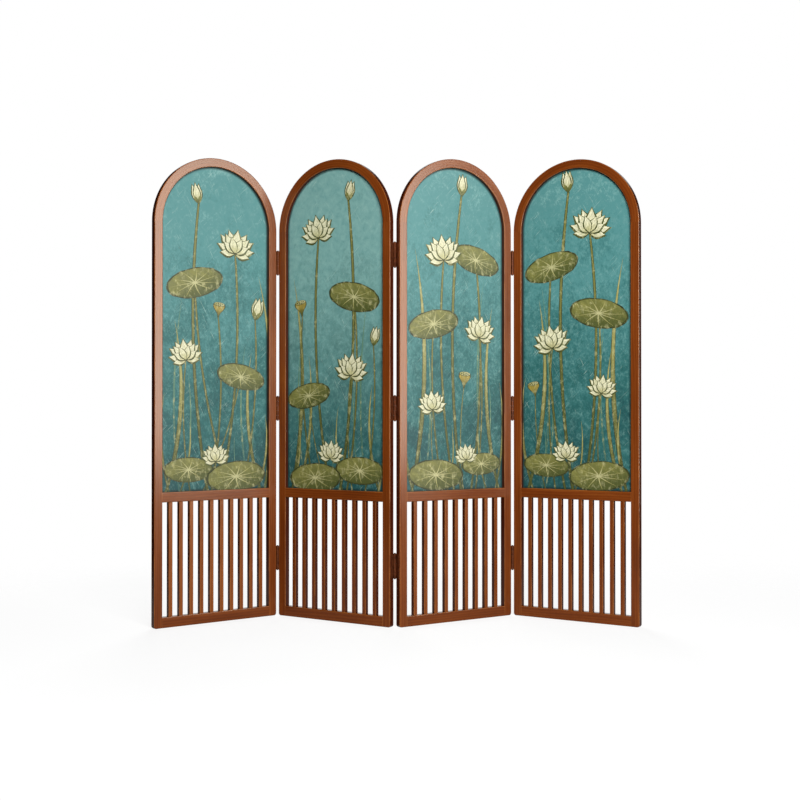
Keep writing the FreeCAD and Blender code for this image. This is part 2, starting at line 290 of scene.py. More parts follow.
def on_leaf(tree, place, number, offset=(0, 0, 0), tip=0.0):
    """The place measured from a point of a leaf, along its width, its depth and up, or tipped level."""
    turn = leaf_turns[number]
    origin = leaf_feet[number] + Matrix.Rotation(turn, 3, "Z") @ Vector(offset)
    values = {"Vector": place, "Location": origin, "Rotation": (0, tip, turn)}
    return node(tree, "Mapping", values, vector_type="TEXTURE").outputs["Vector"]


def finish_wood(tree, shader, place, seed, half_width, half_depth, tone=0.0):
    """Lays the grain along a member and links it to the shader."""
    values = {"Place": place, "Seed": seed, "Half Width": half_width, "Half Depth": half_depth, "Tone": tone}
    grain = node(tree, "Group", values, node_tree=wood_grain).outputs
    shader["Specular Tint"].default_value = colour(lacquer_tint)
    link_all(tree, shader, {
        "Base Color": grain["Color"],
        "Roughness": grain["Roughness"],
        "Normal": bumped(tree, grain["Height"], grain_strength, grain_depth),
    })


def wood_member(name, number, width, offset, tip, seed):
    """The finish of a straight member of the frame, with its grain along it."""
    material, tree, shader, place = new_material(name, wood_gloss)
    along = on_leaf(tree, place, number, offset, tip)
    finish_wood(tree, shader, along, seeds_per_leaf * number + seed, width / 2, frame_depth / 2)
    return material


def dress(node_name, material):
    """Gives a CAD node its finish."""
    for slot in frame["nodes"][node_name].material_slots:
        slot.material = material


for number in range(leaf_count):
    for side, sign in (("left", -1), ("right", 1)):
        name = f"leaf_{number + 1}_{side}_stile"
        middle = (sign * stile_middle, 0, 0)
        dress(name, wood_member(name, number, frame_width, middle, 0.0, sign))


# Middle and bottom rails
# Both rails are a little wider than the stiles, of the same wood, and tenoned into them, with the
# grain running level. The lower one stands on the floor with the stiles' feet.

bottom_rail_width = 0.038
mid_rail_width = 0.036
mid_rail_height = 0.447
mid_rail_top = mid_rail_height + mid_rail_width
tipped_level = math.pi / 2

# Every rail has its name, the height of its lower edge, its width and the seed of its grain
rails = (("bottom_rail", 0.0, bottom_rail_width, 3), ("middle_rail", mid_rail_height, mid_rail_width, 4))
for number in range(leaf_count):
    for rail, low, width, seed in rails:
        name = f"leaf_{number + 1}_{rail}"
        middle = (0, 0, low + width / 2)
        dress(name, wood_member(name, number, width, middle, tipped_level, seed))


# Arched heads
# Each head is a half ring of the same section, laminated from bent strips, so that its grain
# follows the arch. It sits on top of the stiles, with two dowels in each.

spring_height = 1.450
head_radius = stile_middle
head_seed = 5


def make_arched_lay():
    """Turns a place about the middle of an arch into across, through and along the arch."""
    inputs = {"Place": "Vector", "Radius": "Float"}
    group, given, result = new_group("arched lay", inputs, {"Place": "Vector"})
    parts = parts_of(group, given["Place"])
    distance = length_of(group, stretched(group, given["Place"], (1, 0, 1)))
    angle = maths(group, "ARCTAN2", parts["X"], parts["Z"])
    across = maths(group, "SUBTRACT", distance, given["Radius"])
    along = times(group, angle, given["Radius"])
    place = node(group, "CombineXYZ", {"X": across, "Y": parts["Y"], "Z": along}).outputs["Vector"]
    link_all(group, result, {"Place": place})
    return group


arched_lay = make_arched_lay()


def round_arch(tree, place, number):
    """The place along the arch of a leaf, for a finish that follows it."""
    centred = on_leaf(tree, place, number, (0, 0, spring_height))
    values = {"Place": centred, "Radius": head_radius}
    return node(tree, "Group", values, node_tree=arched_lay).outputs["Place"]


for number in range(leaf_count):
    name = f"leaf_{number + 1}_arched_head"
    material, tree, shader, place = new_material(name, wood_gloss)
    along = round_arch(tree, place, number)
    finish_wood(tree, shader, along, seeds_per_leaf * number + head_seed, frame_width / 2, frame_depth / 2)
    dress(name, material)


# Slats
# The grille under the middle rail is made of slim upright bars of the same wood, each with a stub
# tenon in both rails. Every bar is its own stick with its own grain. The bars carry painted light:
# those of the first and third leaves, which face the light, are a little lighter, the second's darker.

slat_counts = (10, 9, 9, 10)
# Painted light: lighter bars on the leaves that face the light, darker on the second
slat_painted_light_tones = (0.30, -0.15, 0.20, 0.0)
slat_width = 0.015
slat_depth = 0.018
slat_seed_step = 3.7
slat_seeds_per_leaf = 50.0
clear_width = leaf_width - 2 * frame_width
for number, count in enumerate(slat_counts):
    name = f"leaf_{number + 1}_slats"
    gap = (clear_width - count * slat_width) / (count + 1)
    pitch = slat_width + gap
    material, tree, shader, place = new_material(name, wood_gloss)
    parts = parts_of(tree, on_leaf(tree, place, number, ((gap - clear_width) / 2, 0, 0)))
    counted = maths(tree, "DIVIDE", parts["X"], pitch)
    stick = maths(tree, "FLOOR", counted)
    across = swing(tree, maths(tree, "FRACT", counted), pitch)
    own_place = node(tree, "CombineXYZ", {"X": across, "Y": parts["Y"], "Z": parts["Z"]}).outputs["Vector"]
    seed = scaled(tree, stick, slat_seed_step, slat_seeds_per_leaf * number)
    finish_wood(tree, shader, own_place, seed, slat_width / 2, slat_depth / 2, slat_painted_light_tones[number])
    dress(name, material)


# Dowels
# Two short pegs of bare beech stand in each joint between a stile and the head, glued in half and
# half. They are hidden once the leaf is put together.

beech_pale = "#C79C68"
beech_dark = "#A87845"
beech_stops = ((0.3, beech_dark), (0.7, beech_pale))
beech_scale = (900, 900, 40)
beech_gloss = 0.3
beech_roughness = (0.55, 0.2)
beech_seed = 5.0


def fine_grain(name, seed, scale, stops, gloss, roughness):
    """Gives a CAD node a finish with one fine grain. Roughness is its least and what the grain adds."""
    material, tree, shader, place = new_material(name, gloss)
    grain = cloud(tree, place, scale, seed, detail=3.0, rough=0.6)
    least, more = roughness
    link_all(tree, shader, {
        "Base Color": graded(tree, grain, stops),
        "Roughness": scaled(tree, grain, more, least),
    })
    dress(name, material)
    return shader


for number in range(leaf_count):
    name = f"leaf_{number + 1}_dowels"
    fine_grain(name, beech_seed + number, beech_scale, beech_stops, beech_gloss, beech_roughness)


# Picture canvas
# A sheet of primed canvas, cut to the arch and stretched flat over its board, lies in the rebate
# of each frame. Its ground is teal, brushed on unevenly, deeper towards the foot, and a little worn.

canvas_width = 0.451
canvas_length = 1.200
canvas_foot = 0.4755
canvas_front = 0.0025
canvas_thickness = 0.0006
canvas_columns = 20
canvas_rows = 56
canvas_gloss = 0.3
canvas_seed_step = 7.0
arch_middle = Vector((0, spring_height, 0))
arch_cuts = 48

ground_deep = "#1F4A4B"
ground_low = "#2C605E"
ground_high = "#4E8483"
ground_top = "#508483"
ground_light = "#6F9E9A"
ground_scumble = "#86ADA6"
ground_scratch = "#B9CFC2"
# Painted shade where the canvas meets the frame
ground_painted_shade = "#132A29"
ground_stops = (
    (0.0, ground_deep), (0.24, ground_low), (0.6, ground_high), (0.8, ground_top), (1.0, ground_light))

# A pale haze lies over the upper part of the second leaf only
haze_shares = (0.0, 1.1, 0.0, 0.0)
haze_band = (0.0, 0.8)

# Every direction of scratches has its lean in radians and its lines per metre
scratch_runs = ((0.5, 560.0), (-0.8, 480.0))
scratch_scale = 11
scratch_swirl = 0.7
scratch_band = (0.66, 0.73)
broken_scale = (16, 16, 16)
broken_band = (0.42, 0.66)
thread_density = 5200
patch_scale = (7, 7, 6)
stroke_scale = (42, 42, 36)
bristle_scale = (150, 150, 110)
scumble_band = (0.45, 0.75)
dry_brush_band = (0.35, 0.7)
frame_shade_band = (0.010, 0.002)

# How much each of these changes the tone, the cover of the paint, the roughness and the relief
patch_swing = 1.1
stroke_swing = 0.7
bristle_swing = 0.9
ground_contrast = 0.8
scumble_strength = 0.55
scratch_strength = 0.6
frame_shade_strength = 0.8
ground_roughness = 0.45
bristle_roughness = 0.2
thread_rise = 0.5
weave_strength = 0.15
weave_depth = 0.0003


def cut_off(point, way, fill):
    """Cuts the shape being edited along a plane and drops what lies beyond it."""
    bpy.ops.mesh.select_all(action="SELECT")
    bpy.ops.mesh.bisect(plane_co=point, plane_no=way, clear_outer=True, use_fill=fill)


def outward_at(angle):
    """The direction from the middle of an arch at an angle."""
    return Vector((math.cos(angle), math.sin(angle), 0))


def add_thickness(piece, thickness):
    """Gives a flat shape its thickness, behind its face."""
    bpy.context.view_layer.objects.active = piece
    bpy.ops.object.modifier_add(type="SOLIDIFY")
    piece.modifiers["Solidify"].thickness = thickness
    piece.modifiers["Solidify"].offset = -1.0
    bpy.ops.object.modifier_apply(modifier="Solidify")


def stand_on_leaf(flat, name, number, material):
    """A copy of a flat shape with its own mesh and finish, stood up in the picture's place on a leaf."""
    turned = Matrix.Rotation(leaf_turns[number], 4, "Z")
    place = leaf_feet[number] + turned.to_3x3() @ Vector((0, canvas_front, 0))
    piece = bpy.data.objects.new(name, flat.data.copy())
    bpy.context.scene.collection.objects.link(piece)
    piece.data.transform(Matrix.Translation(place) @ turned @ Matrix.Rotation(math.pi / 2, 4, "X"))
    piece.data.materials.clear()
    piece.data.materials.append(material)
    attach(piece, f"leaf_{number + 1}")
    return piece


def make_canvas_wear():
    """What time and the weave do to the picture: soft patches, fine scratches and the threads."""
    outputs = {"Patches": "Float", "Scratches": "Float", "Threads": "Float"}
    group, given, result = new_group("canvas wear", {"Place": "Vector", "Seed": "Float"}, outputs)
    place = given["Place"]
    seed = given["Seed"]
    scratches = []
    for lean, fineness in scratch_runs:
        turned = node(group, "VectorRotate", {"Vector": place, "Angle": lean}, rotation_type="Y_AXIS")
        scale = (fineness, 1, scratch_scale)
        lines = cloud(group, turned.outputs["Vector"], scale, seed, detail=1.0, swirl=scratch_swirl)
        scratches.append(between(group, lines, *scratch_band))
    broken = between(group, cloud(group, place, broken_scale, seed), *broken_band)
    weave = parts_of(group, stretched(group, place, (thread_density, 1, thread_density)))
    link_all(group, result, {
        "Patches": cloud(group, place, patch_scale, seed, detail=4.0, rough=0.6, swirl=0.6),
        "Scratches": times(group, maths(group, "MAXIMUM", *scratches), broken),
        "Threads": times(group, *[maths(group, "SINE", weave[axis]) for axis in "XZ"]),
    })
    return group


canvas_wear = make_canvas_wear()


def worn(tree, place, number):
    """The outputs of the canvas wear at a place on a leaf."""
    values = {"Place": place, "Seed": canvas_seed_step * number}
    return node(tree, "Group", values, node_tree=canvas_wear).outputs


def ground_material(number):
    """The brushed teal ground of one leaf, with painted shade in the corner that the frame makes with it."""
    material, tree, shader, place = new_material(f"leaf_{number + 1}_ground", canvas_gloss)
    on_canvas = on_leaf(tree, place, number)
    wear = worn(tree, on_canvas, number)
    parts = parts_of(tree, on_canvas)
    height = maths(tree, "DIVIDE", maths(tree, "SUBTRACT", parts["Z"], canvas_foot), canvas_length)
    seed = canvas_seed_step * number
    strokes = cloud(tree, on_canvas, stroke_scale, seed, detail=5.0, rough=0.7, swirl=0.8)
    bristles = cloud(tree, on_canvas, bristle_scale, seed, detail=4.0, rough=0.75)

    tone = added(tree, height, swing(tree, wear["Patches"], patch_swing))
    tone = added(tree, tone, swing(tree, strokes, stroke_swing), swing(tree, bristles, bristle_swing))
    teal = graded(tree, times(tree, tone, ground_contrast), ground_stops)
    haze = times(tree, between(tree, height, *haze_band), strokes)
    teal = mixed(tree, haze, teal, colour(ground_scumble), haze_shares[number])
    pale_strokes = between(tree, strokes, *scumble_band)
    pale_bristles = between(tree, bristles, *dry_brush_band)
    pale = times(tree, pale_strokes, pale_bristles)
    teal = mixed(tree, pale, teal, colour(ground_scumble), scumble_strength)
    teal = mixed(tree, wear["Scratches"], teal, colour(ground_scratch), scratch_strength)

    # Painted shade: the ground darkens where it meets the frame and the middle rail
    above_spring = maths(tree, "MAXIMUM", maths(tree, "SUBTRACT", parts["Z"], spring_height), 0.0)
    from_middle = node(tree, "CombineXYZ", {"X": parts["X"], "Z": above_spring}).outputs["Vector"]
    from_frame = maths(tree, "SUBTRACT", clear_width / 2, length_of(tree, from_middle))
    from_rail = maths(tree, "SUBTRACT", parts["Z"], mid_rail_top)
    corner = between(tree, maths(tree, "MINIMUM", from_frame, from_rail), *frame_shade_band)
    teal = mixed(tree, corner, teal, colour(ground_painted_shade), frame_shade_strength)

    rise = scaled(tree, wear["Threads"], thread_rise, bristles)
    link_all(tree, shader, {
        "Base Color": teal,
        "Roughness": scaled(tree, bristles, bristle_roughness, ground_roughness),
        "Normal": bumped(tree, rise, weave_strength, weave_depth),
    })
    return material


bpy.ops.object.select_all(action="DESELECT")
bpy.ops.mesh.primitive_grid_add(x_subdivisions=canvas_columns, y_subdivisions=canvas_rows, size=1.0)
flat_canvas = bpy.context.object
bpy.ops.object.mode_set(mode="EDIT")
bpy.ops.transform.resize(value=(canvas_width, canvas_length, 1.0))
bpy.ops.transform.translate(value=(0.0, canvas_foot + canvas_length / 2, 0.0))
for cut in range(arch_cuts):
    outward = outward_at(math.pi * (cut + 0.5) / arch_cuts)
    cut_off(arch_middle + outward * canvas_width / 2, outward, False)
bpy.ops.object.mode_set(mode="OBJECT")
add_thickness(flat_canvas, canvas_thickness)
for number in range(leaf_count):
    canvas = stand_on_leaf(flat_canvas, f"leaf_{number + 1}_canvas", number, ground_material(number))
    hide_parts(f"leaf_{number + 1}_picture_sheet")
bpy.data.objects.remove(flat_canvas)


# Painting
# Lilies, lily leaves and reeds of a pond are painted on the four canvases, in thick cream and olive
# paint laid on stroke by stroke. Each stroke is a thin solid of its own; whole plants are copied.

paint_thickness = 0.00012
layer_step = 0.000012
cream = "#EFEBC8"
cream_shade = "#C9C491"
ochre = "#A8913F"
olive_pale = "#ABA465"
olive = "#7C7B42"
olive_deep = "#4A5028"
outline = "#2C301A"
far_reed = "#5D8872"

# Every kind of stroke has its width at even steps, as shares of its length or of the width named here
petal_shares = (0.10, 0.50, 0.80, 0.97, 1.0, 0.88, 0.60, 0.28, 0.02)
cup_shares = (0.14, 0.17, 0.28, 0.50, 0.75, 0.95, 1.0, 0.9)
vein_shares = (0.050, 0.045, 0.040, 0.032, 0.022, 0.010)
vein_bow = 0.25
stem_shares = (1, 1, 1, 1, 1, 1, 1, 1, 1, 1, 1, 1, 0.85, 0.7)
stem_width = 0.0070
stem_edge_width = 0.0115
stem_bow = 0.30
blade_shares = (0.5, 0.7, 0.85, 0.95, 1, 1, 1, 0.97, 0.9, 0.8, 0.65, 0.45, 0.2, 0.02)
blade_width = 0.018
blade_edge_width = 0.026
blade_bow = 0.55
disc_points = 32
disc_unevenness = 0.022
disc_seed = 4


def ink(mesh, root, tip):
    """Colours a stroke from its root to its tip."""
    for name, code in (("paint_root", root), ("paint_tip", tip)):
        layer = mesh.color_attributes.new(name, "FLOAT_COLOR", "POINT")
        layer.data.foreach_set("color", colour(code) * len(mesh.vertices))


def new_stroke(name, widths, bow=0.0):
    """A stroke along X from 0 to 1, as wide at each step as the list says, bowed by an angle."""
    steps = len(widths) - 1
    bpy.ops.object.select_all(action="DESELECT")
    bpy.ops.mesh.primitive_grid_add(x_subdivisions=steps, y_subdivisions=1, size=1.0)
    stroke = bpy.context.object
    stroke.name = name
    for step, width in enumerate(widths):
        bpy.ops.object.mode_set(mode="EDIT")
        bpy.ops.mesh.select_all(action="DESELECT")
        bpy.ops.object.mode_set(mode="OBJECT")
        for vertex in stroke.data.vertices:
            vertex.select = round((vertex.co.x + 0.5) * steps) == step
        bpy.ops.object.mode_set(mode="EDIT")
        bpy.ops.transform.resize(value=(1.0, width, 1.0))
        bpy.ops.object.mode_set(mode="OBJECT")
    if bow:
        bpy.ops.object.modifier_add(type="SIMPLE_DEFORM")
        bend = stroke.modifiers["SimpleDeform"]
        bend.deform_method = "BEND"
        bend.deform_axis = "Z"
        bend.angle = bow
        bpy.ops.object.modifier_apply(modifier="SimpleDeform")
    places = [vertex.co for vertex in stroke.data.vertices]
    start = (places[0] + places[steps + 1]) / 2
    run = (places[steps] + places[2 * steps + 1]) / 2 - start
    levelled = Matrix.Rotation(-math.atan2(run.y, run.x), 4, "Z") @ Matrix.Translation(-start)
    stroke.data.transform(Matrix.Scale(1 / run.length, 4) @ levelled)
    add_thickness(stroke, paint_thickness)
    return stroke


def laid(master, place, turn, size, layer, slim=1.0, inks=None):
    """A copy of a flat shape with its own mesh, sized, turned and laid at a place on a layer."""
    made = bpy.data.objects.new(master.name, master.data.copy())
    bpy.context.scene.collection.objects.link(made)
    sized = Matrix.Diagonal((size, size * slim, 1.0, 1.0))
    moved = Matrix.Translation((place[0], place[1], layer * layer_step + paint_thickness))
    made.data.transform(moved @ Matrix.Rotation(turn, 4, "Z") @ sized)
    if slim < 0:
        made.data.flip_normals()
    if inks:
        ink(made.data, *inks)
    return made


def joined(pieces, name):
    """Several flat shapes as one."""
    bpy.ops.object.select_all(action="DESELECT")
    for piece in pieces:
        piece.select_set(True)
    bpy.context.view_layer.objects.active = pieces[0]
    bpy.ops.object.join()
    pieces[0].name = name
    return pieces[0]


petal = new_stroke("petal", petal_shares)
cup = new_stroke("cup", cup_shares)
vein = new_stroke("vein", vein_shares, vein_bow)
stem = new_stroke("stem", [stem_width * share for share in stem_shares], stem_bow)
stem_edge = new_stroke("stem edge", [stem_edge_width * share for share in stem_shares], stem_bow)
blade = new_stroke("blade", [blade_width * share for share in blade_shares], blade_bow)
blade_edge = new_stroke("blade edge", [blade_edge_width * share for share in blade_shares], blade_bow)

bpy.ops.object.select_all(action="DESELECT")
bpy.ops.mesh.primitive_circle_add(vertices=disc_points, radius=0.5, fill_type="NGON")
disc = bpy.context.object
disc.name = "disc"
bpy.ops.object.mode_set(mode="EDIT")
bpy.ops.transform.vertex_random(offset=disc_unevenness, seed=disc_seed)
bpy.ops.transform.resize(value=(1.0, 1.0, 0.0), center_override=(0.0, 0.0, 0.0))
bpy.ops.object.mode_set(mode="OBJECT")
add_thickness(disc, paint_thickness)


def fan(pieces, leans, foot, length, slim, inks):
    """Adds petals that point up from a foot, each leaning to the left by its own degrees."""
    for lean in leans:
        turn = math.radians(90 + lean)
        pieces.append(laid(petal, foot, turn, length, len(pieces), slim, inks))


def petals(rows):
    """Petals that fan up from one point, each over its dark edge, in rows of length, width and leans."""
    edge_foot = (0, -0.02)
    edge_length_share = 1.06
    edge_width_share = 1.22
    petal_length_share = 0.97
    pieces = []
    for length, width, leans in rows:
        slim = width / length
        edge_length = length * edge_length_share
        edge_slim = slim * edge_width_share
        for lean in leans:
            fan(pieces, [lean], edge_foot, edge_length, edge_slim, (outline, olive_deep))
            fan(pieces, [lean], (0, 0), length * petal_length_share, slim, (cream_shade, cream))
    return pieces


def make_lily():
    """An open lily from the side: a back row of petals, the stamens, and two rows in front."""
    back_rows = ((0.60, 0.25, (-52, 50, -26, 25, 0)),)
    front_rows = ((0.55, 0.21, (-76, 74, -40, 38)), (0.42, 0.19, (-98, 97, -60, 58, -20, 22)))
    stamen_leans = (-34, -20, -7, 6, 19, 33)
    stamen_foot = (0, 0.1)
    stamen_length = 0.26
    stamen_slim = 0.16
    pieces = petals(back_rows)
    fan(pieces, stamen_leans, stamen_foot, stamen_length, stamen_slim, (ochre, cream))
    front = petals(front_rows)
    for piece in front:
        piece.data.transform(Matrix.Translation((0, 0, len(pieces) * layer_step)))
    return joined(pieces + front, "lily")


def make_bud():
    """A closed bud: three petals held by two small olive ones."""
    petal_rows = ((0.95, 0.34, (-11, 11)), (1.0, 0.34, (0,)))
    holder_leans = (-24, 22)
    holder_foot = (0, -0.03)
    holder_length = 0.5
    holder_slim = 0.36
    pieces = petals(petal_rows)
    fan(pieces, holder_leans, holder_foot, holder_length, holder_slim, (olive_deep, olive))
    return joined(pieces, "bud")


def make_pod():
    """A seed head: a cup with a pale rim and dark seeds."""
    up = math.pi / 2
    # Every part has its shape, the height of its place, its turn, its size, its slimness and its colours
    parts = (
        (cup, -0.04, up, 1.0, 1.02, (outline, outline)),
        (cup, 0.0, up, 0.92, 0.96, (olive_deep, ochre)),
        (disc, 0.92, 0.0, 0.92, 0.34, (outline, outline)),
        (disc, 0.93, 0.0, 0.84, 0.30, (olive_pale, cream_shade)),
    )
    seeds = ((-0.26, 0.92), (-0.1, 0.98), (0.1, 0.97), (0.26, 0.93), (-0.08, 0.87), (0.1, 0.86))
    seed_size = 0.13
    seed_slim = 0.55
    pieces = []
    for shape, height, turn, size, slim, inks in parts:
        pieces.append(laid(shape, (0, height), turn, size, len(pieces), slim, inks))
    for place in seeds:
        pieces.append(laid(disc, place, 0.0, seed_size, len(parts), seed_slim, (outline, outline)))
    return joined(pieces, "pod")


def make_lily_leaf():
    """A round leaf with its veins, from above."""
    face_size = 0.93
    face_turn = 2.0
    vein_count = 11
    vein_start = 0.25
    vein_length = 0.43
    pieces = [laid(disc, (0, 0), 0.0, 1.0, 0, 1.0, (outline, outline))]
    pieces.append(laid(disc, (0, 0), face_turn, face_size, 1, 1.0, (olive_deep, olive)))
    for count in range(vein_count):
        turn = 2 * math.pi * count / vein_count + vein_start
        pieces.append(laid(vein, (0, 0), turn, vein_length, 2 + count, 1.0, (cream_shade, olive_pale)))
    return joined(pieces, "leaf")


plants = {"lily": make_lily(), "bud": make_bud(), "pod": make_pod(), "leaf": make_lily_leaf()}
plant_layers = {"leaf": 50, "pod": 66, "bud": 66, "lily": 66}
leaf_layers = 4
leaf_flatness = 0.46

# Every plant has its kind, the foot of its stem, its own place, its size and its lean in degrees
pond = (
    (("leaf", 0.06, -0.085, 1.240, 0.235, 14), ("leaf", -0.06, 0.105, 0.900, 0.205, -12),
     ("leaf", None, -0.110, 0.560, 0.200, 0), ("leaf", None, 0.085, 0.530, 0.250, 4),
     ("lily", 0.02, 0.080, 1.360, 0.145, -8), ("lily", -0.10, -0.120, 0.960, 0.125, 10),
     ("lily", None, 0.000, 0.590, 0.105, 3), ("bud", 0.11, 0.165, 1.115, 0.085, -14),
     ("pod", -0.02, 0.010, 1.120, 0.050, -6), ("bud", -0.03, -0.070, 1.530, 0.075, 12)),
    (("leaf", 0.05, 0.085, 1.190, 0.230, -13), ("leaf", -0.03, -0.120, 0.830, 0.200, 11),
     ("leaf", None, 0.110, 0.555, 0.220, -3), ("leaf", None, -0.090, 0.525, 0.235, 2),
     ("lily", -0.02, -0.075, 1.420, 0.140, 9), ("lily", 0.08, 0.070, 0.905, 0.135, -7),
     ("bud", 0.02, 0.060, 1.545, 0.075, -10), ("pod", -0.09, -0.150, 1.130, 0.055, 10),
     ("lily", None, -0.020, 0.600, 0.110, -4), ("bud", 0.13, 0.170, 1.010, 0.070, -12)),
    (("leaf", -0.05, -0.095, 1.090, 0.225, 12), ("leaf", 0.07, 0.095, 1.335, 0.220, -15),
     ("leaf", None, -0.085, 0.540, 0.245, -2), ("leaf", None, 0.120, 0.575, 0.180, 3),
     ("lily", 0.00, -0.050, 1.330, 0.150, 7), ("lily", 0.09, 0.110, 1.050, 0.130, -10),
     ("lily", -0.08, -0.100, 0.780, 0.115, 6), ("bud", 0.03, 0.030, 1.570, 0.080, -4),
     ("pod", 0.04, 0.040, 0.860, 0.055, -5), ("lily", None, 0.050, 0.595, 0.095, 5)),
    (("leaf", 0.04, 0.090, 1.130, 0.235, -11), ("leaf", -0.04, -0.100, 1.310, 0.225, 15),
     ("leaf", None, 0.090, 0.535, 0.240, 3), ("leaf", None, -0.120, 0.570, 0.190, -4),
     ("lily", 0.03, 0.055, 1.430, 0.150, -6), ("lily", -0.08, -0.095, 1.010, 0.140, 9),
     ("lily", 0.10, 0.100, 0.840, 0.110, -8), ("bud", -0.01, -0.030, 1.585, 0.080, 6),
     ("pod", -0.12, -0.165, 0.830, 0.050, 12), ("lily", None, -0.040, 0.600, 0.105, 2)),
)

# Every reed has its foot, the place and height of its tip, and how broad and which way it bows
reeds = (
    ((-0.205, -0.165, 1.10, 1.0), (-0.180, -0.205, 0.84, -0.9), (0.195, 0.150, 0.99, -1.0),
     (0.170, 0.208, 0.76, 1.1), (0.205, 0.180, 1.28, 0.8), (-0.15, -0.105, 0.74, 1.0)),
    ((-0.200, -0.190, 1.27, 0.8), (-0.170, -0.120, 0.98, 0.9), (0.200, 0.165, 0.87, -1.0),
     (0.185, 0.205, 1.12, 0.9), (-0.205, -0.165, 0.73, 1.1), (0.04, 0.015, 0.79, -0.9)),
    ((0.205, 0.170, 1.16, -0.9), (0.180, 0.205, 0.88, 0.9), (-0.195, -0.175, 1.36, 0.8),
     (-0.180, -0.205, 0.97, -1.0), (0.150, 0.110, 0.76, -1.0), (-0.04, -0.015, 0.72, 1.0)),
    ((0.200, 0.185, 1.33, -0.8), (0.185, 0.140, 1.00, -1.0), (-0.200, -0.150, 1.19, 0.9),
     (-0.170, -0.207, 0.90, -1.0), (0.205, 0.175, 0.78, -1.1), (-0.01, 0.020, 0.74, 0.9)),
)

# The paint stops just short of the frame, and stems and reeds start below that edge. Each near reed
# has a fainter far one in the other half of the picture.
arch_margin = 0.0008
foot_margin = 0.0005
root_depth = 0.02
opening_reach = clear_width / 2 - arch_margin
opening_foot = mid_rail_top + foot_margin
root_height = opening_foot - root_depth
far_foot_share = -0.7
far_tip_share = -0.75
far_height_share = 0.93
far_slim_share = -0.7
opening_cuts = [(Vector((0, opening_foot, 0)), Vector((0, -1, 0)))]
for cut in range(arch_cuts + 1):
    outward = outward_at(math.pi * cut / arch_cuts)
    opening_cuts.append((arch_middle + outward * opening_reach, outward))


def trim_to_opening(piece):
    """Cuts off what runs past the opening of the frame."""
    bpy.ops.object.select_all(action="DESELECT")
    bpy.context.view_layer.objects.active = piece
    for point, way in opening_cuts:
        if max((vertex.co - point).dot(way) for vertex in piece.data.vertices) > 0:
            bpy.ops.object.mode_set(mode="EDIT")
            cut_off(point, way, True)
            bpy.ops.object.mode_set(mode="OBJECT")


def run_between(master, start, end, layer, slim, inks):
    """A stroke from one place to another."""
    span = Vector(end) - Vector(start)
    return laid(master, start, math.atan2(span.y, span.x), span.length, layer, slim, inks)


def paint_leaf(number):
    """All the strokes of one leaf, trimmed to its opening, as one flat shape."""
    strokes = []
    for foot, tip, height, slim in reeds[number]:
        ends = ((far_foot_share * foot, root_height), (far_tip_share * tip, far_height_share * height))
        far_slim = far_slim_share * slim
        strokes.append(run_between(blade, *ends, len(strokes), far_slim, (ground_low, far_reed)))
    for foot, tip, height, slim in reeds[number]:
        ends = ((foot, root_height), (tip, height))
        strokes.append(run_between(blade_edge, *ends, len(strokes), slim, (outline, olive_deep)))
        strokes.append(run_between(blade, *ends, len(strokes), slim, (olive_deep, olive_pale)))
    for count, (kind, foot, x, height, size, lean) in enumerate(pond[number]):
        if foot is not None:
            ends = ((foot, root_height), (x, height))
            bow = 1.0 if x > foot else -1.0
            strokes.append(run_between(stem_edge, *ends, len(strokes), bow, (outline, outline)))
            strokes.append(run_between(stem, *ends, len(strokes), bow, (olive_deep, olive)))
        slim = leaf_flatness if kind == "leaf" else 1.0
        layer = plant_layers[kind] + (count % leaf_layers if kind == "leaf" else 0)
        strokes.append(laid(plants[kind], (x, height), math.radians(lean), size, layer, slim))
    for stroke in strokes:
        trim_to_opening(stroke)
    return joined(strokes, "painting")


paint_gloss = 0.35
paint_seed_step = 2.0
broad_seed_step = 3.0
brush_scale = (3, 11, 0)
dab_scale = (150, 150, 150)
broad_scale = (62, 62, 38)
dab_swing = 0.8
tip_band = (0.05, 0.8)
light_band = (0.50, 0.66)
light_strength = 0.55
brush_shade_band = (0.62, 0.42)
broad_shade_band = (0.46, 0.34)
shade_strength = 0.45
paint_scratch_strength = 0.3
paint_roughness = 0.4
brush_roughness = 0.25
paint_relief_strength = 0.3
paint_relief_depth = 0.0006


def paint_material(number):
    """Thick paint that shows its strokes, and the wear of the canvas under it."""
    material, tree, shader, place = new_material(f"leaf_{number + 1}_paint", paint_gloss)
    on_canvas = on_leaf(tree, place, number)
    wear = worn(tree, on_canvas, number)
    root = node(tree, "Attribute", attribute_name="paint_root").outputs["Color"]
    tip = node(tree, "Attribute", attribute_name="paint_tip").outputs["Color"]
    stroke = node(tree, "TexCoord").outputs["UV"]
    seed = paint_seed_step * number
    broad_seed = broad_seed_step * number
    brushed = cloud(tree, stroke, brush_scale, seed, detail=3.0, rough=0.6)
    dabs = cloud(tree, on_canvas, dab_scale, seed, detail=3.0, rough=0.6)
    broad = cloud(tree, on_canvas, broad_scale, broad_seed, detail=4.0, rough=0.7, swirl=0.5)

    along = maths(tree, "ADD", parts_of(tree, stroke)["X"], swing(tree, dabs, dab_swing), clamp=True)
    paint = mixed(tree, between(tree, along, *tip_band), root, tip)
    paint = mixed(tree, between(tree, broad, *light_band), paint, colour(cream_shade), light_strength)
    brush_shade = between(tree, brushed, *brush_shade_band)
    shade = maths(tree, "MAXIMUM", brush_shade, between(tree, broad, *broad_shade_band))
    paint = mixed(tree, shade, paint, colour(olive_deep), shade_strength)
    paint = mixed(tree, wear["Scratches"], paint, colour(ground_low), paint_scratch_strength)
    rise = maths(tree, "ADD", brushed, dabs)
    link_all(tree, shader, {
        "Base Color": paint,
        "Roughness": scaled(tree, brushed, brush_roughness, paint_roughness),
        "Normal": bumped(tree, rise, paint_relief_strength, paint_relief_depth),
    })
    return material


